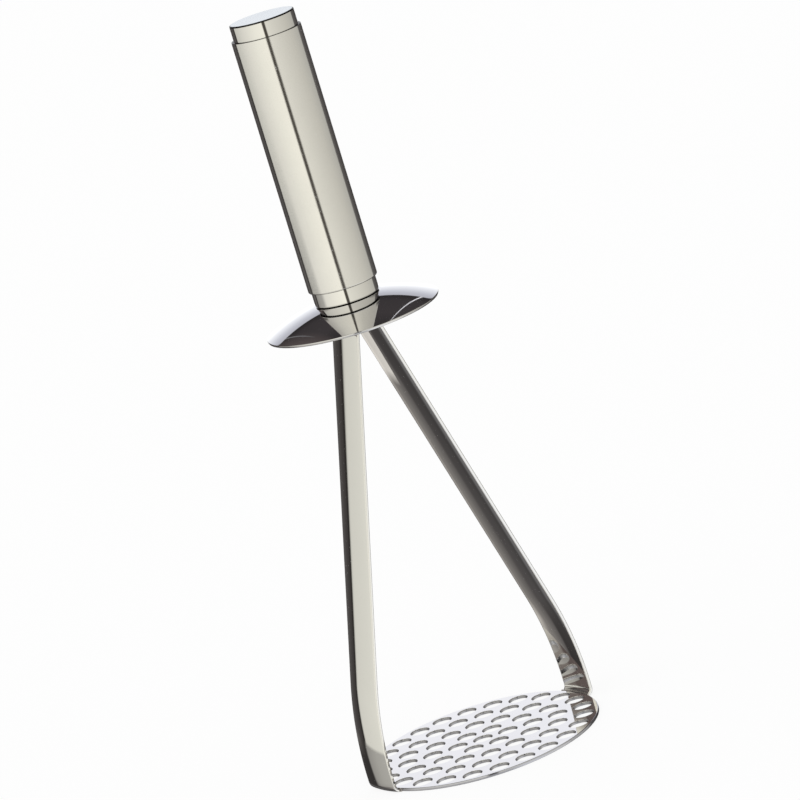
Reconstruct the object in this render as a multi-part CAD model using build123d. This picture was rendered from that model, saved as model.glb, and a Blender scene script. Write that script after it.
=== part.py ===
from build123d import *
from math import asin, atan2, cos, degrees, radians, sin, sqrt, tan
import os

# A potato masher in stainless steel. It stands on its mashing plate: the origin is the middle of
# the plate's underside, +Z runs up the handle, and the two legs lie in the XZ plane.

# Mashing plate
plate_radius = 43.5
plate_thickness = 1.2
plate_edge_radius = 0.3
hole_diameter = 7.4
hole_rim_land = 1.64
hole_web_least = 2.0
holes_added_per_ring = 6
hole_first_direction = -25.9

# Legs: wide straps, slightly dished across their width, with the dish open to the middle
leg_width = 16.6
leg_thickness = 1.2
leg_lower_bend_height = 22.8
leg_upright_above_heel = 1.9
leg_upper_bend_below_hub = 1.8
leg_upper_bend_radius = 12.0
leg_top_drop = 1.0
heel_bend_radius = 2.3

# Welds
foot_weld_width = 0.6
foot_weld_crown = 0.15
foot_weld_overrun = 0.5
hub_weld_leg = 0.9
hub_weld_end_margin = 0.8

# Hub block between the tops of the legs
hub_width = 9.2
hub_length = 14.0
hub_height = 7.4

# Threaded stud
stud_diameter = 6.0
stud_chamfer = 0.6
stud_grip_in_plug = 12.0
stud_grip_in_hub = 6.4
thread_clearance = 0.05
tapped_hole_spare_depth = 1.5

# Hand guard
guard_seat_height = 170.4
guard_radius = 31.7
guard_thickness = 1.0
guard_dome_radius = 70.0
guard_seat_radius = 12.2
guard_hole_clearance = 0.25
guard_rim_radius = 0.3

# Handle tube
tube_diameter = 25.4
tube_wall = 0.9
tube_length = 93.3
tube_top_edge_radius = 0.2
tube_bottom_edge_radius = 0.6

# Plugs in the two ends of the tube
plug_clearance = 0.05
collar_visible_height = 5.5
collar_insert_depth = 16.0
collar_lower_edge_radius = 0.8
cap_visible_height = 5.9
cap_insert_depth = 12.0
cap_edge_radius = 0.55
plug_lead_chamfer = 0.8
cap_hollow_wall = 2.2
cap_hollow_depth = 10.0

# Places that follow from the sizes above
hole_ring_span = plate_radius - hole_rim_land - hole_diameter / 2
hole_ring_count = int(hole_ring_span / (hole_diameter + hole_web_least))
hole_ring_pitch = hole_ring_span / hole_ring_count
tube_radius = tube_diameter / 2
plug_radius = tube_radius - tube_wall - plug_clearance
stud_radius = stud_diameter / 2
tapped_radius = stud_radius + thread_clearance
guard_top_height = guard_seat_height + guard_thickness
tube_bottom_height = guard_top_height + collar_visible_height
tube_top_height = tube_bottom_height + tube_length
hub_bottom_height = guard_seat_height - hub_height
leg_foot_reach = plate_radius + heel_bend_radius
leg_hub_reach = hub_width / 2 + leg_thickness / 2
leg_upper_bend_height = hub_bottom_height - leg_upper_bend_below_hub
leg_top_height = guard_seat_height - leg_top_drop
heel_centre_height = leg_thickness / 2 + heel_bend_radius
heel_inner_radius = heel_bend_radius - leg_thickness / 2
heel_outer_radius = heel_bend_radius + leg_thickness / 2
heel_end_reach = plate_radius + foot_weld_width
leg_inner_reach = leg_foot_reach - leg_thickness / 2
leg_outer_reach = leg_foot_reach + leg_thickness / 2
leg_half_turn = degrees(asin(leg_width / 2 / leg_foot_reach))
overrun = leg_thickness

# How near an edge's radius and height lie to the named ones, as a share of its rounding
edge_match_share = 0.1


def turned(points):
    """Spin a closed outline of (radius, height) points about the Z axis."""
    outline = Plane.XZ * Polyline(*points, close=True)
    return revolve(make_face(outline), Axis.Z)


def fillet_ring(solid, radius, height, size):
    """Round every edge of a turned piece that circles the axis at one radius and height."""
    near = size * edge_match_share
    ring = [
        edge
        for edge in solid.edges().filter_by(GeomType.CIRCLE)
        if abs(edge.radius - radius) < near and abs(edge.arc_center.Z - height) < near
    ]
    return fillet(ring, size)


def make_mashing_plate():
    """A flat disc with one middle hole and rings of holes round it."""
    disc = turned([
        (0, 0),
        (plate_radius, 0),
        (plate_radius, plate_thickness),
        (0, plate_thickness),
    ])
    disc = fillet_ring(disc, plate_radius, plate_thickness, plate_edge_radius)
    disc = fillet_ring(disc, plate_radius, 0, plate_edge_radius)
    places = [(0, 0)]
    for ring in range(1, hole_ring_count + 1):
        count = holes_added_per_ring * ring
        for step in range(count):
            turn = radians(hole_first_direction + step * 360 / count)
            reach = hole_ring_pitch * ring
            places.append((reach * cos(turn), reach * sin(turn)))
    punch = Cylinder(
        hole_diameter / 2,
        plate_thickness + 2 * overrun,
        align=(Align.CENTER, Align.CENTER, Align.MIN),
    )
    return disc - [Pos(x, y, -overrun) * punch for x, y in places]


def strap_section(mid_reach, height):
    """The strap's cross-section in a level plane, dished about the Z axis at the foot."""
    inner_arc = CenterArc((0, 0), leg_inner_reach, -leg_half_turn, 2 * leg_half_turn)
    outer_arc = CenterArc((0, 0), leg_outer_reach, -leg_half_turn, 2 * leg_half_turn)
    sides = [Line(inner_arc @ end, outer_arc @ end) for end in (0, 1)]
    section = make_face([inner_arc, outer_arc, *sides])
    return Pos(mid_reach - leg_foot_reach, 0, height) * section


def make_right_leg():
    """Sweep the strap down from the hub, then turn its heel in to the plate's rim."""
    corners = [
        (leg_hub_reach, 0, leg_top_height),
        (leg_hub_reach, 0, leg_upper_bend_height),
        (leg_foot_reach, 0, leg_lower_bend_height),
        (leg_foot_reach, 0, heel_centre_height),
    ]
    spread = leg_foot_reach - leg_hub_reach
    lean = atan2(spread, leg_upper_bend_height - leg_lower_bend_height)
    bend_run = leg_lower_bend_height - heel_centre_height - leg_upright_above_heel
    lower_bend_radius = bend_run / tan(lean / 2)
    route = FilletPolyline(*corners, radius=[leg_upper_bend_radius, lower_bend_radius])
    strap = sweep(strap_section(leg_hub_reach, leg_top_height), path=route)

    ring = Circle(heel_outer_radius) - Circle(heel_inner_radius)
    bend = Pos(plate_radius, heel_centre_height) * ring
    kept = Pos(heel_end_reach, heel_centre_height) * Rectangle(
        heel_outer_radius, heel_outer_radius, align=(Align.MIN, Align.MAX)
    )
    profile = Plane.XZ * (bend & kept)
    heel = Rot(0, 0, -leg_half_turn) * revolve(profile, Axis.Z, 2 * leg_half_turn)
    return strap + heel


def make_foot_weld():
    """A butt bead between the right heel and the rim, with a low crown."""
    half_turn = degrees(asin((leg_width / 2 + foot_weld_overrun) / leg_foot_reach))
    rim_bottom = (plate_radius, 0)
    rim_top = (plate_radius, plate_thickness)
    bottom_drop = sqrt(heel_outer_radius**2 - foot_weld_width**2)
    top_drop = sqrt(heel_inner_radius**2 - foot_weld_width**2)
    heel_bottom = (heel_end_reach, heel_centre_height - bottom_drop)
    heel_top = (heel_end_reach, heel_centre_height - top_drop)
    middle_height = (rim_top[1] + heel_top[1]) / 2
    crown = (plate_radius + foot_weld_width / 2, middle_height + foot_weld_crown)
    bead = make_face([
        Line(rim_bottom, heel_bottom),
        Line(heel_bottom, heel_top),
        ThreePointArc(heel_top, crown, rim_top),
        Line(rim_top, rim_bottom),
    ])
    return Rot(0, 0, -half_turn) * revolve(Plane.XZ * bead, Axis.Z, 2 * half_turn)


def make_leg_hub():
    """A block whose flanks are milled to the dish of the two legs, tapped through for the stud."""
    block = Pos(0, 0, hub_bottom_height) * Box(
        hub_width, hub_length, hub_height, align=(Align.CENTER, Align.CENTER, Align.MIN)
    )
    flank = Cylinder(leg_inner_reach, hub_height, align=(Align.CENTER, Align.CENTER, Align.MIN))
    for side in (1, -1):
        centre_x = side * (leg_hub_reach - leg_foot_reach)
        block = block & Pos(centre_x, 0, hub_bottom_height) * flank
    bore = Cylinder(tapped_radius, hub_height, align=(Align.CENTER, Align.CENTER, Align.MIN))
    return block - Pos(0, 0, hub_bottom_height) * bore


def make_hub_weld():
    """One fillet bead in the corner between the hub's end face and the right leg."""
    centre_x = leg_hub_reach - leg_foot_reach
    hub_end = hub_length / 2

    def on_leg(y):
        return centre_x + sqrt(leg_inner_reach**2 - y**2), y

    corner = on_leg(hub_end)
    middle = on_leg(hub_end + hub_weld_leg / 2)
    tip = on_leg(hub_end + hub_weld_leg)
    toe = (corner[0] - hub_weld_leg, hub_end)
    bead = make_face([Line(corner, toe), Line(toe, tip), ThreePointArc(tip, middle, corner)])
    height = hub_height - leg_top_drop - 2 * hub_weld_end_margin
    return Pos(0, 0, hub_bottom_height + hub_weld_end_margin) * extrude(bead, height)


def make_joint_stud():
    """The stud that draws the collar plug, the guard and the hub together."""
    bottom = guard_seat_height - stud_grip_in_hub
    top = guard_top_height + stud_grip_in_plug
    return turned([
        (0, bottom),
        (stud_radius - stud_chamfer, bottom),
        (stud_radius, bottom + stud_chamfer),
        (stud_radius, top - stud_chamfer),
        (stud_radius - stud_chamfer, top),
        (0, top),
    ])


def dome_height(radius, sphere_radius):
    """Height of a sphere of the dome's centre at a distance from the axis."""
    centre = guard_top_height - sqrt(guard_dome_radius**2 - guard_seat_radius**2)
    return centre + sqrt(sphere_radius**2 - radius**2)


def make_guard_dome():
    """A pressed shallow dome with a flat seat for the collar and a hole for the stud."""
    inner_radius = guard_dome_radius - guard_thickness
    centre = dome_height(0, guard_dome_radius) - guard_dome_radius
    under_seat_radius = sqrt(inner_radius**2 - (guard_seat_height - centre) ** 2)
    hole_radius = stud_radius + guard_hole_clearance
    middle = (guard_seat_radius + guard_radius) / 2
    under_seat = (under_seat_radius, guard_seat_height)
    under_rim = (guard_radius, dome_height(guard_radius, inner_radius))
    top_rim = (guard_radius, dome_height(guard_radius, guard_dome_radius))
    top_seat = (guard_seat_radius, guard_top_height)
    section = make_face([
        Line((hole_radius, guard_seat_height), under_seat),
        ThreePointArc(under_seat, (middle, dome_height(middle, inner_radius)), under_rim),
        Line(under_rim, top_rim),
        ThreePointArc(top_rim, (middle, dome_height(middle, guard_dome_radius)), top_seat),
        Line(top_seat, (hole_radius, guard_top_height)),
        Line((hole_radius, guard_top_height), (hole_radius, guard_seat_height)),
    ])
    dome = revolve(Plane.XZ * section, Axis.Z)
    for _, height in (under_rim, top_rim):
        dome = fillet_ring(dome, guard_radius, height, guard_rim_radius)
    return dome


def make_collar_plug():
    """A turned plug that stands on the guard and fills the lower end of the tube."""
    bottom = guard_top_height
    top = tube_bottom_height + collar_insert_depth
    tapped_depth = stud_grip_in_plug + tapped_hole_spare_depth
    plug = turned([
        (tapped_radius, bottom),
        (plug_radius, bottom),
        (plug_radius, top - plug_lead_chamfer),
        (plug_radius - plug_lead_chamfer, top),
        (0, top),
        (0, bottom + tapped_depth),
        (tapped_radius, bottom + tapped_depth),
    ])
    return fillet_ring(plug, plug_radius, bottom, collar_lower_edge_radius)


def make_handle_tube():
    """The brushed grip: a plain tube with its end edges eased."""
    bore_radius = tube_radius - tube_wall
    tube = turned([
        (bore_radius, tube_bottom_height),
        (tube_radius, tube_bottom_height),
        (tube_radius, tube_top_height),
        (bore_radius, tube_top_height),
    ])
    tube = fillet_ring(tube, tube_radius, tube_bottom_height, tube_bottom_edge_radius)
    return fillet_ring(tube, tube_radius, tube_top_height, tube_top_edge_radius)


def make_end_cap():
    """A turned plug that closes the upper end of the tube, hollowed from below."""
    bottom = tube_top_height - cap_insert_depth
    top = tube_top_height + cap_visible_height
    hollow_radius = plug_radius - cap_hollow_wall
    cap = turned([
        (hollow_radius, bottom),
        (plug_radius - plug_lead_chamfer, bottom),
        (plug_radius, bottom + plug_lead_chamfer),
        (plug_radius, top),
        (0, top),
        (0, bottom + cap_hollow_depth),
        (hollow_radius, bottom + cap_hollow_depth),
    ])
    return fillet_ring(cap, plug_radius, top, cap_edge_radius)


right_leg = make_right_leg()
foot_weld = make_foot_weld()
hub_weld = make_hub_weld()
half_turn_round = Rot(0, 0, 180)
hub_weld_pair = [hub_weld, mirror(hub_weld, Plane.XZ)]

pieces = {
    "mashing_plate": make_mashing_plate(),
    "right_leg": right_leg,
    "left_leg": half_turn_round * right_leg,
    "foot_welds": Compound([foot_weld, half_turn_round * foot_weld]),
    "leg_hub": make_leg_hub(),
    "hub_welds": Compound(hub_weld_pair + [half_turn_round * bead for bead in hub_weld_pair]),
    "joint_stud": make_joint_stud(),
    "guard_dome": make_guard_dome(),
    "collar_plug": make_collar_plug(),
    "handle_tube": make_handle_tube(),
    "end_cap": make_end_cap(),
}

os.makedirs("parts", exist_ok=True)
for name, shape in pieces.items():
    export_step(shape, f"parts/{name}.step")
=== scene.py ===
from math import asin, atan2, cos, hypot, pi, radians, sin, sqrt, tan

import bmesh
import bpy
from mathutils import Matrix, Vector


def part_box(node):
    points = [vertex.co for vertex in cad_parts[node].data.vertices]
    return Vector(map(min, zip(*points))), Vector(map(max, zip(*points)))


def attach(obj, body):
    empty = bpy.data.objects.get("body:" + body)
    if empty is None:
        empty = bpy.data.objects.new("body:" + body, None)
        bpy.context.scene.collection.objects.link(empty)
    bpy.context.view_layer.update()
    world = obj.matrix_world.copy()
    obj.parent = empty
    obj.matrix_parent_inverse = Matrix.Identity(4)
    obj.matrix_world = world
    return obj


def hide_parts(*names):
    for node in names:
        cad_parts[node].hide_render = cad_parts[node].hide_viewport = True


bl_info = {
    "name": "Potato masher",
    "version": (1, 0, 0),
    "blender": (4, 5, 0),
    "location": "3D View > Sidebar > Potato masher",
    "description": "Models and finishes a stainless steel potato masher and its studio",
    "category": "Object",
}

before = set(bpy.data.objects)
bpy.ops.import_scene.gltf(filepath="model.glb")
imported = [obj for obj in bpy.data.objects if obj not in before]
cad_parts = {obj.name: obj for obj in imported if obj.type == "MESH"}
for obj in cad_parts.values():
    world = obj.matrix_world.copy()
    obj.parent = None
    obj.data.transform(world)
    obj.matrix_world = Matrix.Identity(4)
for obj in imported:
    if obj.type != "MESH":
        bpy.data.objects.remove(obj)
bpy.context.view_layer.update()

MM = 0.001
MICRON = 0.000001

# Corners of the CAD nodes that the pieces are built on
PLATE_LOW, PLATE_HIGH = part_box("mashing_plate")
LEG_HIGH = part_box("right_leg")[1]
GUARD_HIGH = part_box("guard_dome")[1]
COLLAR_LOW, COLLAR_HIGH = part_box("collar_plug")
TUBE_LOW, TUBE_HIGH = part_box("handle_tube")
CAP_LOW, CAP_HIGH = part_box("end_cap")
HUB_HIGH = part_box("leg_hub")[1]

# Angles past which an edge is bevelled, and past which it is shaded sharp
BEVEL_ANGLE = radians(60)
SHARP_ANGLE = radians(38)

# Spans of degrees that the surroundings are set out in: bearings, then the roof's climb
ALL_ROUND = (-180, 180)
LEFT = (-180, 0)
ROOF = (20, 90)


def length(name, description, default):
    """A size that the sidebar shows in scene units."""
    return bpy.props.FloatProperty(
        name=name,
        description=description,
        default=default,
        min=0,
        precision=5,
        subtype="DISTANCE",
        unit="LENGTH",
    )


def turn(name, description, default):
    """An angle that the sidebar shows in degrees."""
    return bpy.props.FloatProperty(
        name=name,
        description=description,
        default=default,
        subtype="ANGLE",
        unit="ROTATION",
    )


def colour(name, description, default):
    """A colour that the sidebar shows as a swatch."""
    return bpy.props.FloatVectorProperty(
        name=name,
        description=description,
        default=default,
        size=3,
        min=0,
        max=1,
        subtype="COLOR",
    )


def share(name, description, default):
    """A plain number between nothing and all."""
    return bpy.props.FloatProperty(
        name=name,
        description=description,
        default=default,
        min=0,
        max=1,
        subtype="FACTOR",
    )


def count(name, description, default):
    """A whole number of copies or sides."""
    return bpy.props.IntProperty(name=name, description=description, default=default, min=1)


class PlateSizes(bpy.types.PropertyGroup):
    """Sizes of the mashing plate."""

    rim_rounding: length("Rim rounding", "Radius of the rim's two edges", 0.3 * MM)
    hole_radius: length("Hole radius", "Radius of each hole", 3.7 * MM)
    ring_pitch: length("Ring pitch", "Step from one ring of holes to the next", 9.54 * MM)
    rings: count("Rings", "Rings of holes round the middle hole", 4)
    holes_per_ring: count("Holes added", "Holes that each ring has more than the last", 6)
    first_hole: turn("First hole", "Direction of the first hole of each ring", radians(-25.9))
    hole_edge: length("Hole edge", "Softening of the punched edges", 0.07 * MM)


class LegSizes(bpy.types.PropertyGroup):
    """Sizes of the two strap legs and their welds."""

    width: length("Width", "Width of the strap", 16.6 * MM)
    thickness: length("Thickness", "Thickness of the strap", 1.2 * MM)
    heel_radius: length("Heel radius", "Bend that turns the heel in to the rim", 2.3 * MM)
    heel_gap: length("Weld width", "Gap at the rim that the bead fills", 0.6 * MM)
    upright: length("Upright", "Straight stretch above the heel", 1.9 * MM)
    lower_bend: length("Lower bend height", "Corner of the lower bend", 22.8 * MM)
    upper_bend: length("Upper bend height", "Corner of the upper bend", 161.2 * MM)
    upper_radius: length("Upper bend radius", "Radius of the upper bend", 12.0 * MM)
    edge_rounding: length("Edge rounding", "Rounding of the strap's long edges", 0.28 * MM)


class GuardSizes(bpy.types.PropertyGroup):
    """Sizes of the hand guard."""

    dome_radius: length("Dome radius", "Radius of the dome's outer face", 70.0 * MM)
    seat_radius: length("Seat radius", "Radius of the flat seat under the collar", 12.2 * MM)
    thickness: length("Thickness", "Thickness of the sheet", 1.0 * MM)
    rim_rounding: length("Rim rounding", "Radius of the rim's two edges", 0.3 * MM)


class HandleSizes(bpy.types.PropertyGroup):
    """Sizes of the collar, the tube and the end cap."""

    tube_wall: length("Tube wall", "Wall of the tube", 0.9 * MM)
    tube_top_edge: length("Tube top edge", "Rounding of the tube's upper edge", 0.2 * MM)
    tube_bottom_edge: length("Tube bottom edge", "Rounding of the tube's lower edge", 0.6 * MM)
    collar_edge: length("Collar edge", "Rounding of the collar's lower edge", 0.8 * MM)
    cap_edge: length("Cap edge", "Rounding of the cap's upper edge", 0.55 * MM)
    lead_chamfer: length("Lead chamfer", "Chamfer that leads each plug in", 0.8 * MM)


class SteelFinish(bpy.types.PropertyGroup):
    """Colours and gloss of the stainless steel."""

    polished: colour("Polished steel", "Legs", (0.885, 0.88, 0.865))
    guard: colour("Guard steel", "Hand guard", (0.735, 0.73, 0.735))
    plate: colour("Plate steel", "Both faces of the plate", (0.95, 0.925, 0.905))
    rim: colour("Rim steel", "Sheared rim of the plate", (0.55, 0.555, 0.60))
    punched: colour("Punched steel", "Walls of the holes", (0.42, 0.42, 0.44))
    cap_face: colour("Cap face", "Faced top of the end cap", (0.46, 0.497, 0.53))
    satin: colour("Satin steel", "Collar, tube and cap", (0.765, 0.76, 0.748))
    # Near-black steel: painted shade in the handle's joints and painted dark reflections along
    # the cap's rim and the straps' +X corners
    edge: colour("Edge steel", "Dark edges of handle and straps", (0.03, 0.028, 0.027))
    plain: colour("Plain steel", "Hub and stud under the guard", (0.55, 0.545, 0.54))
    weld: colour("Weld bead", "Beads at heels and hub", (0.60, 0.575, 0.54))
    polished_roughness: share("Polished roughness", "Gloss of the polished pieces", 0.025)
    satin_roughness: share("Satin roughness", "Gloss of the handle", 0.06)


class StudioSettings(bpy.types.PropertyGroup):
    """Camera, floor and light."""

    camera_reach: length("Camera reach", "Level distance from the handle's axis", 1.60485)
    camera_height: length("Camera height", "Height above the floor", 0.49364)
    camera_bearing: turn("Camera bearing", "Direction of the camera round the part", radians(-30))
    heading: turn("Heading", "Direction that the camera faces", radians(-30.2569))
    tilt: turn("Tilt", "Tilt of the camera up from straight down", radians(77.2444))
    roll: turn("Roll", "Turn of the camera about its own line of sight", radians(-17.0232))
    panel_bearing: turn("Panel bearing", "Way to the white panel, from +Y", radians(30))
    lens: bpy.props.FloatProperty(
        name="Lens", description="Focal length in millimetres", default=208.08, min=1
    )
    floor_colour: colour("Floor colour", "Colour of the floor", (0.96, 0.96, 0.96))
    daylight: share("Daylight", "Level of the soft light all round", 0.95)


# Shared steps of edit mode


def rest():
    """Leave edit mode with nothing selected."""
    if bpy.context.mode != "OBJECT":
        bpy.ops.object.mode_set(mode="OBJECT")
    bpy.ops.object.select_all(action="DESELECT")


def hold(piece):
    """Make one piece the only selected and active one."""
    rest()
    piece.select_set(True)
    bpy.context.view_layer.objects.active = piece


def bench(name):
    """Name the primitive that was just added, fix its place in its mesh and open it."""
    piece = bpy.context.object
    piece.name = name
    piece.data.name = name
    bpy.ops.object.transform_apply(location=True, rotation=True, scale=True)
    bpy.ops.object.mode_set(mode="EDIT")
    return piece


def pick(piece, kind, test, facing=None):
    """Select only what passes a test: verts by their place, edges by both ends, and faces by
    their middle and, where facing is given, by their normal."""
    bpy.ops.mesh.select_mode(type=kind)
    bpy.ops.mesh.select_all(action="DESELECT")
    mesh = bmesh.from_edit_mesh(piece.data)
    if kind == "VERT":
        for vert in mesh.verts:
            vert.select_set(test(vert.co))
    if kind == "EDGE":
        for edge in mesh.edges:
            first, second = edge.verts
            if test(first.co) and test(second.co):
                edge.select_set(True)
    if kind == "FACE":
        for face in mesh.faces:
            turned_right = facing is None or facing(face.normal)
            face.select_set(turned_right and test(face.calc_center_median()))
    mesh.select_flush_mode()
    bmesh.update_edit_mesh(piece.data)


def near(value, target, slack=0.01 * MM):
    """Whether a place lies within a little of another."""
    return abs(value - target) < slack


def cut_away(point, normal, inner=False, outer=False):
    """Cut all of the open mesh by a plane and throw one side away."""
    bpy.ops.mesh.select_all(action="SELECT")
    bpy.ops.mesh.bisect(
        plane_co=point, plane_no=normal, clear_inner=inner, clear_outer=outer, threshold=1e-7
    )


def close_doubles():
    """Merge what lies on the same spot and turn the faces outwards."""
    bpy.ops.mesh.select_all(action="SELECT")
    bpy.ops.mesh.remove_doubles(threshold=1e-6)
    bpy.ops.mesh.normals_make_consistent(inside=False)


def draw_out(x, y, z):
    """Extrude what is selected and leave its new end selected."""
    bpy.ops.mesh.extrude_region_move(TRANSFORM_OT_translate={"value": (x, y, z)})


def wall(thickness, offset):
    """Grows a wall from a sheet, in finish_with."""
    return "SOLIDIFY", {"thickness": thickness, "offset": offset, "use_even_offset": True}


def soft_edges(width, steps):
    """Rounds every sharp edge, in finish_with."""
    settings = {"width": width, "segments": steps, "limit_method": "ANGLE"}
    return "BEVEL", {**settings, "angle_limit": BEVEL_ANGLE}


def finish_with(piece, *modifiers):
    """Add modifiers by type and settings, apply each, and shade the piece smooth."""
    hold(piece)
    for kind, settings in modifiers:
        modifier = piece.modifiers.new(kind.title(), kind)
        for key, value in settings.items():
            setattr(modifier, key, value)
        bpy.ops.object.modifier_apply(modifier=modifier.name)
    bpy.ops.object.shade_smooth_by_angle(angle=SHARP_ANGLE)
    even = piece.modifiers.new("Even normals", "WEIGHTED_NORMAL")
    even.mode = "FACE_AREA"
    even.weight = 80
    even.keep_sharp = True
    bpy.ops.object.modifier_apply(modifier=even.name)
    rest()


def turned_rod(name, radius, low, high, sides=192):
    """A closed rod on the handle's axis, open for editing."""
    rest()
    bpy.ops.mesh.primitive_cylinder_add(
        vertices=sides,
        radius=radius,
        depth=high - low,
        end_fill_type="NGON",
        location=(0, 0, (low + high) / 2),
    )
    return bench(name)


def ease_ring(piece, radius, height, size, steps):
    """Round the edge that circles the axis at one radius and height."""
    pick(piece, "EDGE", lambda co: near(hypot(co.x, co.y), radius) and near(co.z, height))
    bpy.ops.mesh.bevel(offset=size, segments=steps, profile=0.5, affect="EDGES")


def settle(piece, material, slot, *nodes):
    """Give a piece its material and its body, and hide the nodes it stands for. The slot is not
    used.
    """
    piece.data.materials.clear()
    piece.data.materials.append(material)
    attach(piece, "root")
    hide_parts(*nodes)


def face_with(piece, material, test, facing=None):
    """Give one more material to the faces that pass the tests."""
    hold(piece)
    piece.data.materials.append(material)
    piece.active_material_index = len(piece.data.materials) - 1
    bpy.ops.object.mode_set(mode="EDIT")
    pick(piece, "FACE", test, facing)
    bpy.ops.object.material_slot_assign()
    rest()


# Nodes, and the groups that more than one steel uses


def new_group(name, inputs, outputs):
    """An empty node group with named sockets, and its two end nodes."""
    group = bpy.data.node_groups.new(name, "ShaderNodeTree")
    for label, kind, default in inputs:
        socket = group.interface.new_socket(label, in_out="INPUT", socket_type=kind)
        if default is not None:
            socket.default_value = default
    for label, kind in outputs:
        group.interface.new_socket(label, in_out="OUTPUT", socket_type=kind)
    entry = group.nodes.new("NodeGroupInput")
    leave = group.nodes.new("NodeGroupOutput")
    return group, entry, leave


def math_node(tree, operation, first, second=None, third=None):
    """A Math node whose inputs are sockets or numbers."""
    node = tree.nodes.new("ShaderNodeMath")
    node.operation = operation
    for index, value in enumerate((first, second, third)):
        if value is None:
            continue
        if isinstance(value, (int, float)):
            node.inputs[index].default_value = value
        else:
            tree.links.new(value, node.inputs[index])
    return node.outputs[0]


def mix_node(tree, level, first, second):
    """The first colour where the level is 0, the second where it is 1."""
    node = tree.nodes.new("ShaderNodeMix")
    node.data_type = "RGBA"
    tree.links.new(level, node.inputs["Factor"])
    for key, tint in (("A", first), ("B", second)):
        if isinstance(tint, tuple):
            node.inputs[key].default_value = (*tint, 1)
        else:
            tree.links.new(tint, node.inputs[key])
    return node.outputs["Result"]


def group_node(tree, group, vector, **values):
    """A group laid over a piece, with values for its own inputs."""
    node = tree.nodes.new("ShaderNodeGroup")
    node.node_tree = group
    tree.links.new(vector, node.inputs["Vector"])
    for key, value in values.items():
        node.inputs[key].default_value = value
    return node.outputs


def noise_node(tree, vector, scale, detail, roughness):
    """Soft noise over a vector, between nothing and one."""
    node = tree.nodes.new("ShaderNodeTexNoise")
    node.noise_dimensions = "3D"
    node.inputs["Scale"].default_value = scale
    node.inputs["Detail"].default_value = detail
    node.inputs["Roughness"].default_value = roughness
    tree.links.new(vector, node.inputs["Vector"])
    return node.outputs["Fac"]


def handling_marks_group():
    """Faint smears and dull patches that vary the gloss."""
    name = "Handling marks"
    if name in bpy.data.node_groups:
        return bpy.data.node_groups[name]
    group, entry, leave = new_group(
        name,
        [
            ("Vector", "NodeSocketVector", None),
            ("Gloss", "NodeSocketFloat", 0.05),
            ("Smear", "NodeSocketFloat", 0.03),
        ],
        [("Roughness", "NodeSocketFloat"), ("Tone", "NodeSocketFloat")],
    )
    fine_share = 0.35
    wide = noise_node(group, entry.outputs["Vector"], scale=38.0, detail=4.0, roughness=0.55)
    fine = noise_node(group, entry.outputs["Vector"], scale=420.0, detail=3.0, roughness=0.6)
    patch = math_node(group, "MULTIPLY", wide, wide)
    blend = math_node(group, "MULTIPLY_ADD", fine, fine_share, patch)
    extra = math_node(group, "MULTIPLY", blend, entry.outputs["Smear"])
    total = math_node(group, "ADD", extra, entry.outputs["Gloss"])
    group.links.new(total, leave.inputs["Roughness"])
    group.links.new(blend, leave.inputs["Tone"])
    return group


def hairline_group():
    """Fine hairline scratches, drawn out the way that Along is small."""
    name = "Hairlines"
    if name in bpy.data.node_groups:
        return bpy.data.node_groups[name]
    group, entry, leave = new_group(
        name,
        [
            ("Vector", "NodeSocketVector", None),
            ("Along", "NodeSocketVector", (1.0, 1.0, 1.0)),
            ("Strength", "NodeSocketFloat", 1.0),
        ],
        [("Height", "NodeSocketFloat")],
    )
    stretch = group.nodes.new("ShaderNodeVectorMath")
    stretch.operation = "MULTIPLY"
    group.links.new(entry.outputs["Vector"], stretch.inputs[0])
    group.links.new(entry.outputs["Along"], stretch.inputs[1])
    lines = noise_node(group, stretch.outputs["Vector"], scale=1.0, detail=3.0, roughness=0.65)
    height = math_node(group, "MULTIPLY", lines, entry.outputs["Strength"])
    group.links.new(height, leave.inputs["Height"])
    return group


def dust_group():
    """Sparse specks of dust, a fraction of a millimetre wide."""
    name = "Dust specks"
    if name in bpy.data.node_groups:
        return bpy.data.node_groups[name]
    group, entry, leave = new_group(
        name,
        [
            ("Vector", "NodeSocketVector", None),
            ("Scale", "NodeSocketFloat", 1200.0),
            ("Share", "NodeSocketFloat", 0.25),
            ("Strength", "NodeSocketFloat", 0.4),
        ],
        [("Mask", "NodeSocketFloat")],
    )
    cells = group.nodes.new("ShaderNodeTexVoronoi")
    group.links.new(entry.outputs["Vector"], cells.inputs["Vector"])
    group.links.new(entry.outputs["Scale"], cells.inputs["Scale"])
    pick_one = group.nodes.new("ShaderNodeSeparateColor")
    group.links.new(cells.outputs["Color"], pick_one.inputs["Color"])
    least, spread = 0.08, 0.14
    chosen = math_node(group, "LESS_THAN", pick_one.outputs["Red"], entry.outputs["Share"])
    reach = math_node(group, "MULTIPLY_ADD", pick_one.outputs["Green"], spread, least)
    spot = math_node(group, "LESS_THAN", cells.outputs["Distance"], reach)
    speck = math_node(group, "MULTIPLY", chosen, spot)
    mask = math_node(group, "MULTIPLY", speck, entry.outputs["Strength"])
    group.links.new(mask, leave.inputs["Mask"])
    return group


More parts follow.
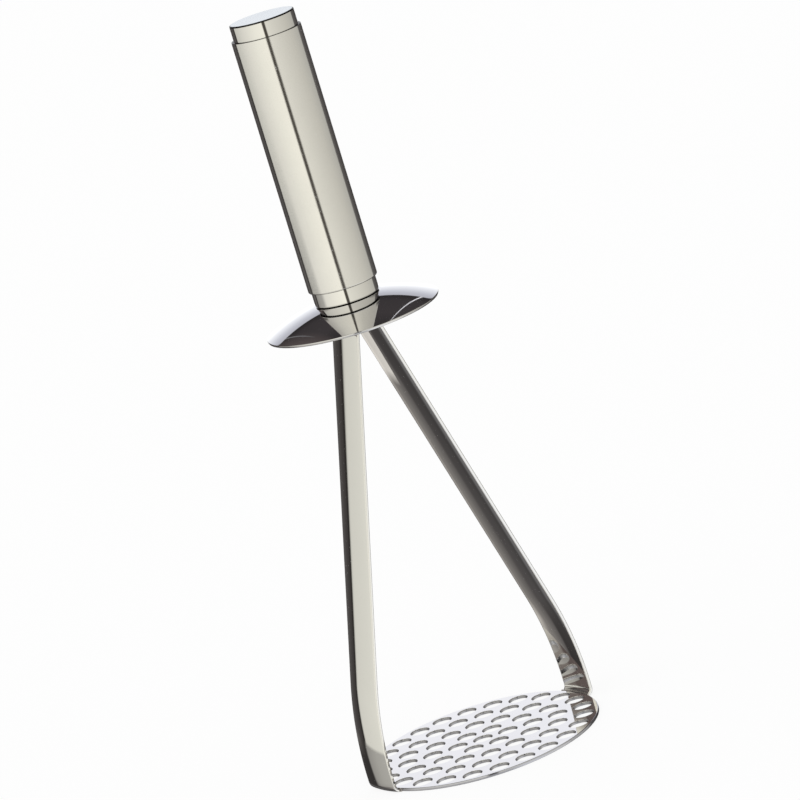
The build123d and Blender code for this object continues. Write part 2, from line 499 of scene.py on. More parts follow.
def steel(name, tint, gloss, smear, along, strength, depth, dust, mottle):
    """A metal with smears in its gloss, hairlines in its surface and dust on it."""
    dust_tint = (0.75, 0.74, 0.72)
    pale = tuple(part * (1 + mottle) for part in tint)
    dull = tuple(part * (1 - mottle) for part in tint)
    material = bpy.data.materials.new(name)
    material.use_nodes = True
    tree = material.node_tree
    shader = tree.nodes["Principled BSDF"]
    place = tree.nodes.new("ShaderNodeTexCoord").outputs["Object"]
    marks = group_node(tree, handling_marks_group(), place, Gloss=gloss, Smear=smear)
    specks = group_node(tree, dust_group(), place, Strength=dust)["Mask"]
    lines = group_node(tree, hairline_group(), place, Along=along, Strength=strength)

    tone = mix_node(tree, marks["Tone"], pale, dull)
    dusty = mix_node(tree, specks, tone, dust_tint)
    tree.links.new(dusty, shader.inputs["Base Color"])
    tree.links.new(math_node(tree, "SUBTRACT", 1.0, specks), shader.inputs["Metallic"])
    rough = math_node(tree, "MAXIMUM", marks["Roughness"], specks)
    tree.links.new(rough, shader.inputs["Roughness"])
    bump = tree.nodes.new("ShaderNodeBump")
    bump.inputs["Strength"].default_value = 1.0
    bump.inputs["Distance"].default_value = depth
    tree.links.new(lines["Height"], bump.inputs["Height"])
    tree.links.new(bump.outputs["Normal"], shader.inputs["Normal"])


def finishes():
    """The steels of the part, made once."""
    chosen = bpy.context.scene.masher_finish
    made = bpy.data.materials
    if "Guard steel" in made:
        return made
    bright, satin = chosen.polished_roughness, chosen.satin_roughness
    even, along_leg, round_tube = (900, 900, 900), (12, 900, 12), (120, 120, 9000)
    through_hole, round_plug = (2500, 2500, 120), (200, 200, 4000)
    machined, beaded = (400, 400, 3000), (1500, 1500, 1500)
    for name, tint, gloss, smear, along, strength, microns, dust, mottle in (
        ("Guard steel", chosen.guard, bright, 0.015, even, 0.5, 0.4, 0.08, 0.01),
        ("Leg steel", chosen.polished, bright, 0.02, along_leg, 0.8, 0.8, 0.15, 0.02),
        ("Plate steel", chosen.plate, bright, 0.05, even, 0.6, 0.8, 0.15, 0.03),
        ("Rim steel", chosen.rim, 0.06, 0.05, even, 0.6, 0.8, 0.0, 0.06),
        ("Punched steel", chosen.punched, 0.18, 0.2, through_hole, 1.0, 20.0, 0.0, 0.25),
        ("Satin steel", chosen.satin, satin, 0.08, round_tube, 1.0, 4.0, 0.2, 0.05),
        ("Bright turned steel", chosen.satin, bright, 0.03, round_plug, 0.6, 1.2, 0.0, 0.06),
        ("Faced steel", chosen.cap_face, 0.15, 0.05, even, 0.6, 1.0, 0.2, 0.02),
        # Near-black steel for painted shade in joints and painted dark reflections on edges
        ("Edge steel", chosen.edge, 0.3, 0.1, even, 0.6, 1.0, 0.0, 0.06),
        ("Plain steel", chosen.plain, 0.32, 0.2, machined, 1.0, 6.0, 0.0, 0.06),
        ("Weld bead steel", chosen.weld, 0.22, 0.25, beaded, 1.0, 20.0, 0.0, 0.06),
    ):
        steel(name, tint, gloss, smear, along, strength, microns * MICRON, dust, mottle)
    return made


# The pieces


class MASHER_OT_plate(bpy.types.Operator):
    """Make the mashing plate with its rings of punched holes"""

    bl_idname = "masher.plate"
    bl_label = "Mashing plate"

    def execute(self, context):
        sizes = context.scene.masher_plate
        radius = PLATE_HIGH.y
        thick = PLATE_HIGH.z - PLATE_LOW.z
        plate = turned_rod("plate_disc", radius, PLATE_LOW.z, PLATE_HIGH.z, sides=256)
        for height in (PLATE_LOW.z, PLATE_HIGH.z):
            ease_ring(plate, radius, height, sizes.rim_rounding, 5)

        # One punch for each hole, joined and cut out of the disc in one go
        rest()
        punches = []
        for ring in range(sizes.rings + 1):
            holes = max(1, sizes.holes_per_ring * ring)
            for step in range(holes):
                angle = sizes.first_hole + 2 * pi * step / holes
                reach = sizes.ring_pitch * ring
                spot = (reach * cos(angle), reach * sin(angle), thick / 2)
                if punches:
                    punch = punches[0].copy()
                    punch.data = punches[0].data.copy()
                    punch.location = spot
                    context.collection.objects.link(punch)
                else:
                    bpy.ops.mesh.primitive_cylinder_add(
                        vertices=64, radius=sizes.hole_radius, depth=thick * 3, location=spot
                    )
                    punch = context.object
                punches.append(punch)
        rest()
        for punch in punches:
            punch.select_set(True)
        context.view_layer.objects.active = punches[0]
        bpy.ops.object.join()
        punch_set = context.object
        bpy.ops.object.transform_apply(location=True, rotation=True, scale=True)

        finish_with(
            plate,
            ("BOOLEAN", {"operation": "DIFFERENCE", "object": punch_set, "solver": "EXACT"}),
            soft_edges(sizes.hole_edge, 2),
        )
        bpy.data.objects.remove(punch_set)
        settle(plate, finishes()["Plate steel"], "polished_steel", "mashing_plate")
        flat = radius - sizes.rim_rounding

        def in_hole(co):
            return near(co.z, thick / 2, thick / 4) and hypot(co.x, co.y) < flat

        face_with(plate, finishes()["Punched steel"], in_hole)
        face_with(plate, finishes()["Rim steel"], lambda co: hypot(co.x, co.y) > flat)
        return {"FINISHED"}


class MASHER_OT_legs(bpy.types.Operator):
    """Make the two bowed strap legs with their turned-in heels"""

    bl_idname = "masher.legs"
    bl_label = "Legs"

    def execute(self, context):
        sizes = context.scene.masher_legs
        rim = PLATE_HIGH.y
        foot = rim + sizes.heel_radius
        hub = HUB_HIGH.x + sizes.thickness / 2
        heel_height = sizes.thickness / 2 + sizes.heel_radius
        half_turn = asin(sizes.width / 2 / foot)
        lean = atan2(foot - hub, sizes.upper_bend - sizes.lower_bend)
        bend_low = heel_height + sizes.upright
        lower_radius = (sizes.lower_bend - bend_low) / tan(lean / 2)
        upper_run = sizes.upper_radius * tan(lean / 2)
        straight = hypot(foot - hub, sizes.upper_bend - sizes.lower_bend)
        straight -= sizes.lower_bend - bend_low + upper_run

        # The heel: a quarter of a ring, swept round the plate's rim
        rest()
        bpy.ops.mesh.primitive_circle_add(
            vertices=24,
            radius=sizes.heel_radius,
            location=(rim, 0, heel_height),
            rotation=(pi / 2, 0, 0),
        )
        leg = bench("right_leg_strap")
        cut_away((rim + sizes.heel_gap, 0, 0), (1, 0, 0), inner=True)
        cut_away((0, 0, heel_height), (0, 0, 1), outer=True)
        bpy.ops.object.mode_set(mode="OBJECT")
        leg.rotation_euler = (0, 0, -half_turn)
        bpy.ops.object.transform_apply(location=False, rotation=True, scale=False)
        bpy.ops.object.mode_set(mode="EDIT")
        bpy.ops.mesh.select_all(action="SELECT")
        bpy.ops.mesh.spin(steps=24, angle=2 * half_turn, center=(0, 0, 0), axis=(0, 0, -1))

        # Up from the heel, round the lower bend, up the long slope and round the upper bend
        pick(leg, "EDGE", lambda co: near(co.z, heel_height))
        draw_out(0, 0, sizes.upright)
        bpy.ops.mesh.spin(
            steps=28, angle=lean, center=(foot - lower_radius, 0, bend_low), axis=(0, 1, 0)
        )
        draw_out(-straight * sin(lean), 0, straight * cos(lean))
        bpy.ops.mesh.spin(
            steps=12,
            angle=lean,
            center=(hub + sizes.upper_radius, 0, sizes.upper_bend + upper_run),
            axis=(0, -1, 0),
        )
        draw_out(0, 0, LEG_HIGH.z - sizes.upper_bend - upper_run)
        close_doubles()
        finish_with(leg, wall(sizes.thickness, 0.0), soft_edges(sizes.edge_rounding, 4))

        other = leg.copy()
        other.data = leg.data.copy()
        other.name = "left_leg_strap"
        other.data.name = "left_leg_strap"
        context.collection.objects.link(other)
        hold(other)
        other.rotation_euler = (0, 0, pi)
        bpy.ops.object.transform_apply(location=False, rotation=True, scale=False)
        rest()
        settle(leg, finishes()["Leg steel"], "polished_steel", "right_leg")
        settle(other, finishes()["Leg steel"], "polished_steel", "left_leg")
        self.paint_dark_reflections(leg, sizes)
        self.paint_dark_reflections(other, sizes)
        return {"FINISHED"}

    def paint_dark_reflections(self, strap, sizes):
        """Give the rounded corners on the +X side of a strap near-black steel, a painted dark
        reflection.
        """
        flat = sizes.width / 2 - sizes.edge_rounding * 1.25
        least_turn = 0.2
        dark = finishes()["Edge steel"]
        face_with(strap, dark, lambda co: abs(co.y) > flat, lambda way: way.x > least_turn)


class MASHER_OT_guard(bpy.types.Operator):
    """Make the pressed dome that guards the hand"""

    bl_idname = "masher.guard"
    bl_label = "Hand guard"

    def execute(self, context):
        sizes = context.scene.masher_guard
        rim = GUARD_HIGH.x
        centre = GUARD_HIGH.z - sqrt(sizes.dome_radius**2 - sizes.seat_radius**2)
        rest()
        bpy.ops.mesh.primitive_circle_add(
            vertices=1080,
            radius=sizes.dome_radius,
            location=(0, 0, centre),
            rotation=(pi / 2, 0, 0),
        )
        dome = bench("guard_shell")
        cut_away((0, 0, centre), (0, 0, 1), inner=True)
        cut_away((sizes.seat_radius, 0, 0), (1, 0, 0), inner=True)
        cut_away((rim, 0, 0), (1, 0, 0), outer=True)
        bpy.ops.mesh.select_all(action="SELECT")
        bpy.ops.mesh.spin(steps=192, angle=2 * pi, center=(0, 0, 0), axis=(0, 0, 1))
        close_doubles()
        pick(dome, "EDGE", lambda co: near(co.z, GUARD_HIGH.z))
        bpy.ops.mesh.edge_face_add()
        # The seat is a flat ring, open in the middle where the stud goes through
        seat_width = sizes.seat_radius * 0.7
        bpy.ops.mesh.inset(thickness=seat_width)
        bpy.ops.mesh.delete(type="FACE")
        bpy.ops.mesh.select_all(action="SELECT")
        bpy.ops.mesh.normals_make_consistent(inside=False)
        finish_with(dome, wall(sizes.thickness, -1.0), soft_edges(sizes.rim_rounding, 4))
        settle(dome, finishes()["Guard steel"], "polished_steel", "guard_dome")
        return {"FINISHED"}


class MASHER_OT_handle(bpy.types.Operator):
    """Make the collar, the tube and the end cap"""

    bl_idname = "masher.handle"
    bl_label = "Handle"

    def execute(self, context):
        sizes = context.scene.masher_handle
        plug = COLLAR_HIGH.x
        grip = TUBE_HIGH.x

        collar = turned_rod("collar_body", plug, COLLAR_LOW.z, COLLAR_HIGH.z)
        ease_ring(collar, plug, COLLAR_LOW.z, sizes.collar_edge, 6)
        ease_ring(collar, plug, COLLAR_HIGH.z, sizes.lead_chamfer, 1)
        finish_with(collar)
        settle(collar, finishes()["Bright turned steel"], "satin_steel", "collar_plug")
        # Painted shade: the lower half of the collar's foot rounding gets near-black steel where
        # it meets the guard
        shaded = COLLAR_LOW.z + sizes.collar_edge / 2
        dark = finishes()["Edge steel"]
        face_with(collar, dark, lambda co: co.z < shaded)

        tube = turned_rod("grip_tube", grip, TUBE_LOW.z, TUBE_HIGH.z)
        pick(tube, "FACE", lambda co: hypot(co.x, co.y) < grip / 2)
        bpy.ops.mesh.inset(thickness=sizes.tube_wall)
        pick(tube, "FACE", lambda co: hypot(co.x, co.y) < grip / 2)
        bpy.ops.mesh.bridge_edge_loops()
        ease_ring(tube, grip, TUBE_LOW.z, sizes.tube_bottom_edge, 6)
        ease_ring(tube, grip, TUBE_HIGH.z, sizes.tube_top_edge, 3)
        finish_with(tube)
        settle(tube, finishes()["Satin steel"], "satin_steel", "handle_tube")
        # Painted shade: the tube's lower mouth and upper lip get near-black steel at its joints
        # with the collar and the cap
        mouth = TUBE_LOW.z + sizes.tube_bottom_edge / 3
        lip = TUBE_HIGH.z - sizes.tube_top_edge / 2
        face_with(tube, dark, lambda co: co.z < mouth or co.z > lip)

        cap = turned_rod("cap_body", plug, CAP_LOW.z, CAP_HIGH.z)
        ease_ring(cap, plug, CAP_HIGH.z, sizes.cap_edge, 6)
        ease_ring(cap, plug, CAP_LOW.z, sizes.lead_chamfer, 1)
        finish_with(cap)
        settle(cap, finishes()["Bright turned steel"], "satin_steel", "end_cap")
        face_with(cap, finishes()["Faced steel"], lambda co: near(co.z, CAP_HIGH.z))
        # Painted dark reflection: the rounding of the cap's upper rim gets near-black steel
        brow = CAP_HIGH.z - sizes.cap_edge
        face_with(cap, dark, lambda co: co.z > brow and not near(co.z, CAP_HIGH.z))
        return {"FINISHED"}


class MASHER_OT_joint(bpy.types.Operator):
    """Finish the hub, its welds, the stud and the beads at the heels"""

    bl_idname = "masher.joint"
    bl_label = "Hub, stud and welds"

    def execute(self, context):
        for node, finish in (
            ("leg_hub", "Plain steel"),
            ("joint_stud", "Plain steel"),
            ("hub_welds", "Weld bead steel"),
            ("foot_welds", "Weld bead steel"),
        ):
            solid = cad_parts[node]
            solid.data.materials.clear()
            solid.data.materials.append(finishes()[finish])
        return {"FINISHED"}


class MASHER_OT_studio(bpy.types.Operator):
    """Set the floor, the light all round and the camera"""

    bl_idname = "masher.studio"
    bl_label = "Studio"

    def execute(self, context):
        self.set_camera(context)
        self.lay_floor(context)
        self.lay_card()
        self.light_world(context)
        context.scene.view_settings.view_transform = "Standard"
        return {"FINISHED"}

    def set_camera(self, context):
        studio = context.scene.masher_studio
        bearing = studio.camera_bearing
        rest()
        bpy.ops.object.camera_add()
        camera = context.object
        camera.name = "studio_camera"
        camera.data.lens = studio.lens
        camera.data.sensor_width = 36
        camera.data.sensor_fit = "HORIZONTAL"
        camera.data.clip_start = 0.05
        camera.data.clip_end = 200
        place = Vector((
            studio.camera_reach * sin(bearing),
            -studio.camera_reach * cos(bearing),
            studio.camera_height,
        ))
        aim = (
            Matrix.Rotation(studio.heading, 4, "Z")
            @ Matrix.Rotation(studio.tilt, 4, "X")
            @ Matrix.Rotation(studio.roll, 4, "Z")
        )
        camera.matrix_world = Matrix.Translation(place) @ aim
        context.scene.camera = camera

    def lay_floor(self, context):
        """A pale floor that the camera sees as nearly white, with the part's shadow on it."""
        studio = context.scene.masher_studio
        white_share = 0.86
        rest()
        bpy.ops.mesh.primitive_circle_add(vertices=96, radius=30, fill_type="NGON")
        floor = context.object
        floor.name = "studio_floor"
        floor.visible_glossy = False
        material, tree = self.bare_material("Studio floor")
        matt = tree.nodes.new("ShaderNodeBsdfDiffuse")
        matt.inputs["Color"].default_value = (*studio.floor_colour, 1)
        glow = tree.nodes.new("ShaderNodeEmission")
        glow.inputs["Color"].default_value = (1, 1, 1, 1)
        glow.inputs["Strength"].default_value = 1.0
        path = tree.nodes.new("ShaderNodeLightPath")
        level = math_node(tree, "MULTIPLY", path.outputs["Is Camera Ray"], white_share)
        mix = tree.nodes.new("ShaderNodeMixShader")
        out = tree.nodes.new("ShaderNodeOutputMaterial")
        tree.links.new(level, mix.inputs["Fac"])
        tree.links.new(matt.outputs["BSDF"], mix.inputs[1])
        tree.links.new(glow.outputs["Emission"], mix.inputs[2])
        tree.links.new(mix.outputs["Shader"], out.inputs["Surface"])
        floor.data.materials.append(material)

    def lay_card(self):
        """A pale card on the table, left of the part, that only the far leg mirrors."""
        corners = ((-160, 138), (-102.5, 207.6), (-202.5, 230.5), (-145, 300))
        lift = 0.5
        pale = (1, 0.965, 0.90, 1)
        # Two fades over the card: the way each runs, where it starts and ends, and its levels
        fades = (
            ((-0.9075, -0.42, 0), (5.9, 55.9), (0.56, 0.37)),
            ((-0.7725, 0.635, 0), (213.0, 226.5), (0.0, 1.0)),
        )
        rest()
        bpy.ops.mesh.primitive_plane_add(size=1)
        card = bpy.context.object
        card.name = "studio_card"
        for vertex, (x, y) in zip(card.data.vertices, corners):
            vertex.co = (x * MM, y * MM, lift * MM)
        for kind in ("camera", "diffuse", "transmission", "volume_scatter", "shadow"):
            setattr(card, "visible_" + kind, False)
        material, tree = self.bare_material("Studio card")
        place = tree.nodes.new("ShaderNodeTexCoord").outputs["Object"]
        levels = []
        for along, (start, end), (first, last) in fades:
            run = tree.nodes.new("ShaderNodeVectorMath")
            run.operation = "DOT_PRODUCT"
            run.inputs[1].default_value = along
            tree.links.new(place, run.inputs[0])
            level = tree.nodes.new("ShaderNodeMapRange")
            level.inputs["From Min"].default_value = start * MM
            level.inputs["From Max"].default_value = end * MM
            level.inputs["To Min"].default_value = first
            level.inputs["To Max"].default_value = last
            tree.links.new(run.outputs["Value"], level.inputs["Value"])
            levels.append(level.outputs["Result"])
        glow = tree.nodes.new("ShaderNodeEmission")
        glow.inputs["Color"].default_value = pale
        tree.links.new(math_node(tree, "MULTIPLY", *levels), glow.inputs["Strength"])
        clear = tree.nodes.new("ShaderNodeBsdfTransparent")
        both = tree.nodes.new("ShaderNodeAddShader")
        tree.links.new(glow.outputs["Emission"], both.inputs[0])
        tree.links.new(clear.outputs["BSDF"], both.inputs[1])
        out = tree.nodes.new("ShaderNodeOutputMaterial")
        tree.links.new(both.outputs["Shader"], out.inputs["Surface"])
        card.data.materials.append(material)
        mirrors = bpy.data.collections.new("Card mirrors")
        mirrors.objects.link(bpy.data.objects["right_leg_strap"])
        card.light_linking.receiver_collection = mirrors

    def bare_material(self, name):
        """A material with no nodes in it yet, and its node tree."""
        material = bpy.data.materials.new(name)
        material.use_nodes = True
        material.node_tree.nodes.clear()
        return material, material.node_tree

    def light_world(self, context):
        """Plain light for matt things, and for metal a ring of panels, flags and soft boxes."""
        studio = context.scene.masher_studio
        world = bpy.data.worlds.new("Studio light")
        context.scene.world = world
        world.use_nodes = True
        tree = world.node_tree
        tree.nodes.clear()
        bearing, climb = self.directions(tree, studio.panel_bearing)
        patch = (0.56, 0.53, 0.49)
        ring = self.soft_boxes(tree, bearing, climb)
        ring = mix_node(tree, self.patch_cover(tree, bearing, climb), ring, patch)
        roof = self.roof(tree, bearing, climb)
        covered = mix_node(tree, self.roof_cover(tree, bearing, climb), ring, roof)
        panel = self.panel(tree, climb)
        mirrored = mix_node(tree, self.panel_cover(tree, bearing, climb), covered, panel)

        path = tree.nodes.new("ShaderNodeLightPath")
        plain = (studio.daylight,) * 3
        lit = mix_node(tree, path.outputs["Is Glossy Ray"], plain, mirrored)
        seen = mix_node(tree, path.outputs["Is Camera Ray"], lit, (1, 1, 1))
        background = tree.nodes.new("ShaderNodeBackground")
        tree.links.new(seen, background.inputs["Color"])
        out = tree.nodes.new("ShaderNodeOutputWorld")
        tree.links.new(background.outputs["Background"], out.inputs["Surface"])

    def directions(self, tree, ahead):
        """The bearing and the climb of every direction, in degrees. Bearings run from the
        middle of the panel, straight behind the part, and are positive to its right."""
        way = tree.nodes.new("ShaderNodeTexCoord").outputs["Generated"]
        spun = tree.nodes.new("ShaderNodeVectorRotate")
        spun.rotation_type = "Z_AXIS"
        spun.inputs["Angle"].default_value = ahead
        tree.links.new(way, spun.inputs["Vector"])
        parts = tree.nodes.new("ShaderNodeSeparateXYZ")
        tree.links.new(spun.outputs["Vector"], parts.inputs["Vector"])
        around = math_node(tree, "ARCTAN2", parts.outputs["X"], parts.outputs["Y"])
        climb = math_node(tree, "ARCSINE", parts.outputs["Z"])
        return math_node(tree, "DEGREES", around), math_node(tree, "DEGREES", climb)

    def ramp(self, tree, source, span, stops):
        """Colours set at degrees within a span of degrees, with straight blends between."""
        low, high = span
        place = tree.nodes.new("ShaderNodeMapRange")
        place.inputs["From Min"].default_value = low
        place.inputs["From Max"].default_value = high
        tree.links.new(source, place.inputs["Value"])
        node = tree.nodes.new("ShaderNodeValToRGB")
        node.color_ramp.interpolation = "LINEAR"
        bar = node.color_ramp.elements
        while len(bar) > 1:
            bar.remove(bar[0])
        for index, (degrees_at, tint) in enumerate(stops):
            position = (degrees_at - low) / (high - low)
            stop = bar[0] if index == 0 else bar.new(position)
            stop.position = position
            stop.color = (*tint, 1) if isinstance(tint, tuple) else (tint, tint, tint, 1)
        tree.links.new(place.outputs["Result"], node.inputs["Fac"])
        return node.outputs["Color"]

    def soft_boxes(self, tree, bearing, climb):
        """Soft boxes and flags all round, and the table below them."""
        leant = self.leant(tree, bearing, climb)
        at_feet = self.ramp(tree, climb, (-12, -8), [(-11.2, 1.0), (-10.4, 0.0)])
        feet = self.under_eye_level(tree, leant)
        boxes = mix_node(tree, at_feet, self.eye_level(tree, leant), feet)
        # The table starts further down under the light on the left
        further_down = 4.5
        under_light = [(-104, 0.0), (-92, 1.0), (-60, 1.0), (-54, 0.0)]
        light_side = self.ramp(tree, bearing, LEFT, under_light)
        depth = math_node(tree, "MULTIPLY_ADD", light_side, further_down, climb)
        on_table = self.ramp(tree, depth, (-22, -10), [(-19.5, 1.0), (-13.5, 0.0)])
        lower = mix_node(tree, on_table, boxes, self.table(tree, bearing))
        # A low flag stands on the table, left of the part
        low_flag = (0.035, 0.032, 0.031)
        wide = [(-55.5, 0.0), (-53, 1.0), (-40, 0.85), (-34, 0.0)]
        high = [(-30, 0.0), (-25, 0.7), (-18, 1.0), (-14, 1.0), (-11.5, 0.0)]
        across = self.ramp(tree, bearing, LEFT, wide)
        down = self.ramp(tree, climb, (-30, -10), high)
        lower = mix_node(tree, math_node(tree, "MULTIPLY", across, down), lower, low_flag)
        over_eye = self.ramp(tree, climb, (30, 50), [(38, 0.0), (43, 1.0)])
        return mix_node(tree, over_eye, lower, self.over_eye_level(tree, bearing))

    def leant(self, tree, bearing, climb):
        """The bearing, pushed round near the left flag so that the flag's edge leans."""
        furthest = 10.0
        flag_stops = [(-85, 0.0), (-76, 1.0), (-66, 1.0), (-48, 0.0)]
        by_climb = [
            (-13, 0.0), (-10, 0.30), (-6, 0.22), (-1, 0.0), (2, 0.32), (5, 0.675), (9, 0.96),
        ]
        near_flag = self.ramp(tree, bearing, LEFT, flag_stops)
        lean = self.ramp(tree, climb, (-13, 10), by_climb)
        level = math_node(tree, "MULTIPLY", near_flag, lean)
        return math_node(tree, "MULTIPLY_ADD", level, furthest, bearing)

    def ring_with_slit(self, tree, bearing, stops, slit_start):
        """Colours all round, with the dim slit between the soft boxes in front of the part."""
        slit = (0.085, 0.076, 0.064)
        before = [(-180, slit), (-175.8, slit)]
        after = [(slit_start, slit), (180, slit)]
        return self.ramp(tree, bearing, ALL_ROUND, [*before, *stops, *after])

    def eye_level(self, tree, bearing):
        """Left soft box, left flag, the dark behind the part, right flag, right soft box."""
        stops = [
            (-172.8, (1.10, 1.07, 0.95)), (-140, (1.02, 1.00, 0.89)),
            (-100, (0.87, 0.85, 0.77)), (-75, (0.75, 0.74, 0.67)),
            (-56.4, (0.68, 0.67, 0.61)), (-54.9, (0.020, 0.018, 0.016)),
            (-53.4, (0.035, 0.031, 0.030)), (-52, (0.052, 0.047, 0.045)),
            (-48.5, (0.064, 0.058, 0.056)), (-46, (0.086, 0.080, 0.078)),
            (-43, (0.10, 0.094, 0.091)), (-28, (0.085, 0.078, 0.075)),
            (28, (0.07, 0.064, 0.062)), (44, (0.105, 0.097, 0.093)),
            (57, (0.135, 0.127, 0.122)), (60, (0.53, 0.52, 0.475)),
            (100, (0.67, 0.65, 0.58)), (174.0, (0.88, 0.86, 0.77)),
        ]
        return self.ring_with_slit(tree, bearing, stops, 176.6)

    def under_eye_level(self, tree, bearing):
        """The feet of the same boxes and flags, dimmer on the left."""
        stops = [
            (-172.8, (1.14, 1.11, 0.98)), (-100, (0.90, 0.88, 0.80)),
            (-86, (0.46, 0.45, 0.42)), (-68, (0.40, 0.39, 0.36)),
            (-56, (0.31, 0.30, 0.28)), (-53.5, (0.03, 0.028, 0.026)),
            (-49, (0.07, 0.064, 0.06)), (-42, (0.15, 0.14, 0.135)),
            (-28, (0.07, 0.065, 0.062)), (28, (0.07, 0.065, 0.062)),
            (57, (0.13, 0.125, 0.12)), (61, (0.53, 0.52, 0.475)),
            (100, (0.68, 0.66, 0.59)), (174.0, (0.92, 0.90, 0.80)),
        ]
        return self.ring_with_slit(tree, bearing, stops, 176.6)

    def over_eye_level(self, tree, bearing):
        """The upper parts of the soft boxes, which meet behind the part."""
        stops = [
            (-172.8, (1.06, 1.03, 0.90)), (-135, (0.96, 0.94, 0.83)),
            (-105, (0.86, 0.84, 0.75)), (-75, (0.68, 0.66, 0.60)),
            (-45, (0.54, 0.52, 0.47)), (45, (0.56, 0.54, 0.49)),
            (90, (0.65, 0.63, 0.56)), (135, (0.77, 0.75, 0.66)),
            (172.8, (0.97, 0.94, 0.82)),
        ]
        return self.ring_with_slit(tree, bearing, stops, 175.8)

    def table(self, tree, bearing):
        """The table all round: pale in front, dark on the left and behind the part."""
        stops = [
            (-180, (0.58, 0.58, 0.58)), (-100, (0.62, 0.60, 0.56)),
            (-76, (0.35, 0.33, 0.305)), (-69, (0.215, 0.20, 0.19)),
            (-64, (0.205, 0.192, 0.182)), (-61, (0.163, 0.153, 0.146)),
            (-57, (0.132, 0.123, 0.119)), (-55, (0.112, 0.104, 0.101)),
            (-53, (0.085, 0.078, 0.077)), (-50, (0.081, 0.075, 0.075)),
            (-45, (0.088, 0.082, 0.082)), (-41, (0.083, 0.078, 0.078)),
            (-38.7, (0.074, 0.070, 0.070)), (-37, (0.086, 0.083, 0.083)),
            (-34.8, (0.145, 0.141, 0.142)), (-31, (0.155, 0.151, 0.152)),
            (-28.5, (0.10, 0.095, 0.094)), (-15, (0.05, 0.046, 0.044)),
            (15, (0.05, 0.046, 0.044)), (50, (0.12, 0.115, 0.11)),
            (70, (0.50, 0.49, 0.47)), (92, (0.62, 0.61, 0.58)),
            (98, (0.95, 0.94, 0.90)), (112, (1.03, 1.02, 0.98)),
            (130, (0.97, 0.975, 0.985)), (150, (0.93, 0.94, 0.955)),
            (165, (0.58, 0.58, 0.58)),
        ]
        return self.ramp(tree, bearing, ALL_ROUND, stops)

    def patch_cover(self, tree, bearing, climb):
        """Where a pale patch of table shows, low down on the left."""
        across = self.ramp(tree, bearing, LEFT, [(-86, 0.0), (-80, 1.0), (-72, 0.95), (-66, 0.0)])
        down = self.ramp(tree, climb, (-40, -20), [(-30, 1.0), (-26, 0.0)])
        return math_node(tree, "MULTIPLY", across, down)

    def panel(self, tree, climb):
        """The white panel behind the part, brightest at its foot."""
        stops = [
            (4, (1.25, 1.26, 1.28)), (8, (1.16, 1.18, 1.21)), (12, (1.02, 1.04, 1.09)),
            (16, (0.90, 0.92, 0.98)), (20, (0.75, 0.77, 0.84)), (24, (0.63, 0.64, 0.71)),
            (27.5, (0.58, 0.585, 0.64)),
        ]
        return self.ramp(tree, climb, (0, 30), stops)

    def panel_cover(self, tree, bearing, climb):
        """Where the panel shows: a width that narrows below the horizon, under the roof."""
        narrowing = 1.6
        aside = math_node(tree, "ABSOLUTE", bearing)
        below = math_node(tree, "MAXIMUM", math_node(tree, "MULTIPLY", climb, -1.0), 0.0)
        reach = math_node(tree, "MULTIPLY_ADD", below, narrowing, aside)
        wide = self.ramp(tree, reach, (0, 40), [(19.5, 1.0), (21.0, 0.0)])
        high = self.ramp(tree, climb, (0, 40), [(27.3, 1.0), (27.9, 0.0)])
        return math_node(tree, "MULTIPLY", wide, high)

    def roof(self, tree, bearing, climb):
        """The dark roof over the part, with a gap of light down each side of the panel."""
        dark_stops = [
            (26, (0.07, 0.062, 0.055)), (27, (0.028, 0.025, 0.026)),
            (35, (0.052, 0.046, 0.048)), (50, (0.058, 0.051, 0.053)),
            (70, (0.03, 0.028, 0.028)),
        ]
        dark = self.ramp(tree, climb, ROOF, dark_stops)
        left = self.ramp(tree, bearing, (-60, 0), [(-30, 1.0), (-17, 0.0)])
        dark = mix_node(tree, left, dark, (0.13, 0.105, 0.10))

        # Each gap starts at an upper corner of the panel and leans away from it upwards
        corner, foot, half_width = 18.2, 28, 0.26
        for side, lean, top, glow in ((1, 0.165, 62, 1.0), (-1, 0.13, 50, 0.22)):
            start = side * (corner - foot * lean)
            centre = math_node(tree, "MULTIPLY_ADD", climb, side * lean, start)
            line = math_node(tree, "COMPARE", bearing, centre, half_width)
            stretch = self.ramp(tree, climb, ROOF, [(foot, 1.0), (top - 8, 0.8), (top, 0.0)])
            level = math_node(tree, "MULTIPLY", line, stretch)
            dark = mix_node(tree, level, dark, (glow, glow, glow * 1.04))
        crown = self.ramp(tree, climb, (60, 90), [(72, 0.0), (77, 1.0)])
        return mix_node(tree, crown, dark, (0.50, 0.50, 0.51))

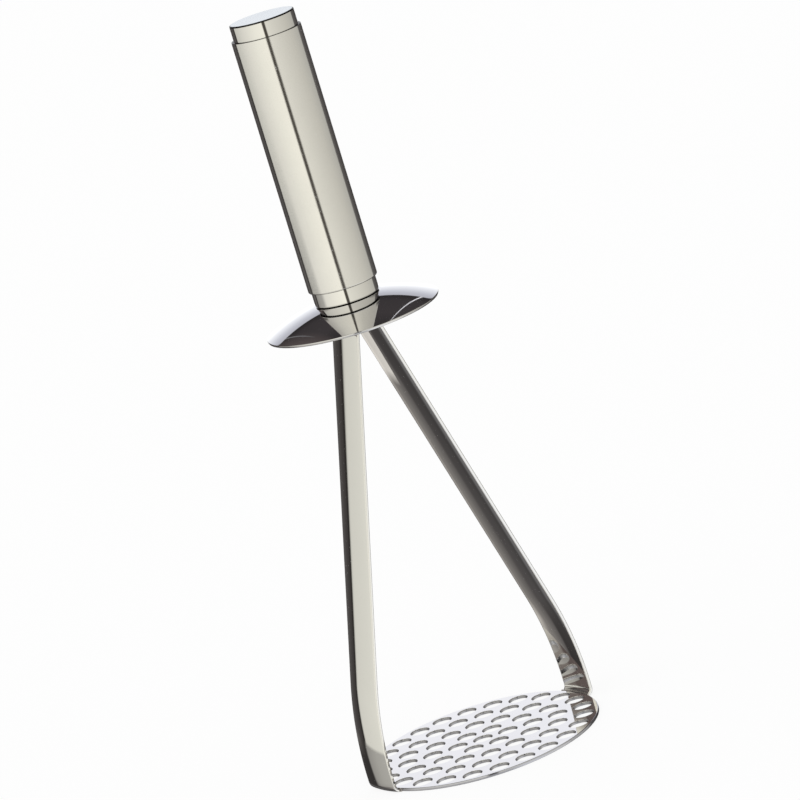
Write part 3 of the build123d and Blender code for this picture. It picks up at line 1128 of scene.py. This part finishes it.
    def roof_cover(self, tree, bearing, climb):
        """Where the roof shows: over the panel, overhead, and a shelf low down at the sides."""
        aside = math_node(tree, "ABSOLUTE", bearing)
        front = self.ramp(tree, aside, (0, 180), [(26, 1.0), (33, 0.0)])
        high = self.ramp(tree, climb, (0, 40), [(13.0, 0.0), (14.5, 1.0)])
        beside = self.ramp(tree, aside, (0, 180), [(90, 0.95), (112, 0.0)])
        shelf_stops = [(9.5, 0.0), (12, 0.8), (16, 1.0), (18, 1.0), (23, 0.8), (30, 0.0)]
        shelf = self.ramp(tree, climb, (0, 40), shelf_stops)
        over = self.ramp(tree, climb, (40, 90), [(66, 0.0), (69, 1.0)])
        near_panel = math_node(tree, "MULTIPLY", front, high)
        near_sides = math_node(tree, "MULTIPLY", beside, shelf)
        behind = math_node(tree, "MAXIMUM", near_panel, near_sides)
        return math_node(tree, "MAXIMUM", behind, over)


class MASHER_PT_panel(bpy.types.Panel):
    """Lists the pieces of the potato masher and its studio"""

    bl_idname = "MASHER_PT_panel"
    bl_label = "Potato masher"
    bl_space_type = "VIEW_3D"
    bl_region_type = "UI"
    bl_category = "Potato masher"

    def draw(self, context):
        for title, group, operators in SECTIONS:
            box = self.layout.box()
            box.label(text=title)
            settings = getattr(context.scene, group)
            for key in settings.__annotations__:
                box.prop(settings, key)
            for operator in operators:
                box.operator(operator)


SECTIONS = (
    ("Mashing plate", "masher_plate", ("masher.plate",)),
    ("Legs", "masher_legs", ("masher.legs", "masher.joint")),
    ("Hand guard", "masher_guard", ("masher.guard",)),
    ("Handle", "masher_handle", ("masher.handle",)),
    ("Steel", "masher_finish", ()),
    ("Studio", "masher_studio", ("masher.studio",)),
)
SETTINGS = {
    "masher_plate": PlateSizes,
    "masher_legs": LegSizes,
    "masher_guard": GuardSizes,
    "masher_handle": HandleSizes,
    "masher_finish": SteelFinish,
    "masher_studio": StudioSettings,
}
CLASSES = (
    *SETTINGS.values(),
    MASHER_OT_plate,
    MASHER_OT_legs,
    MASHER_OT_guard,
    MASHER_OT_handle,
    MASHER_OT_joint,
    MASHER_OT_studio,
    MASHER_PT_panel,
)


def register():
    for item in CLASSES:
        bpy.utils.register_class(item)
    for name, kind in SETTINGS.items():
        setattr(bpy.types.Scene, name, bpy.props.PointerProperty(type=kind))


def unregister():
    for name in SETTINGS:
        delattr(bpy.types.Scene, name)
    for item in reversed(CLASSES):
        bpy.utils.unregister_class(item)


def main():
    register()
    rest()
    bpy.ops.masher.plate()
    bpy.ops.masher.legs()
    bpy.ops.masher.joint()
    bpy.ops.masher.guard()
    bpy.ops.masher.handle()
    bpy.ops.masher.studio()


if __name__ == "__main__":
    main()
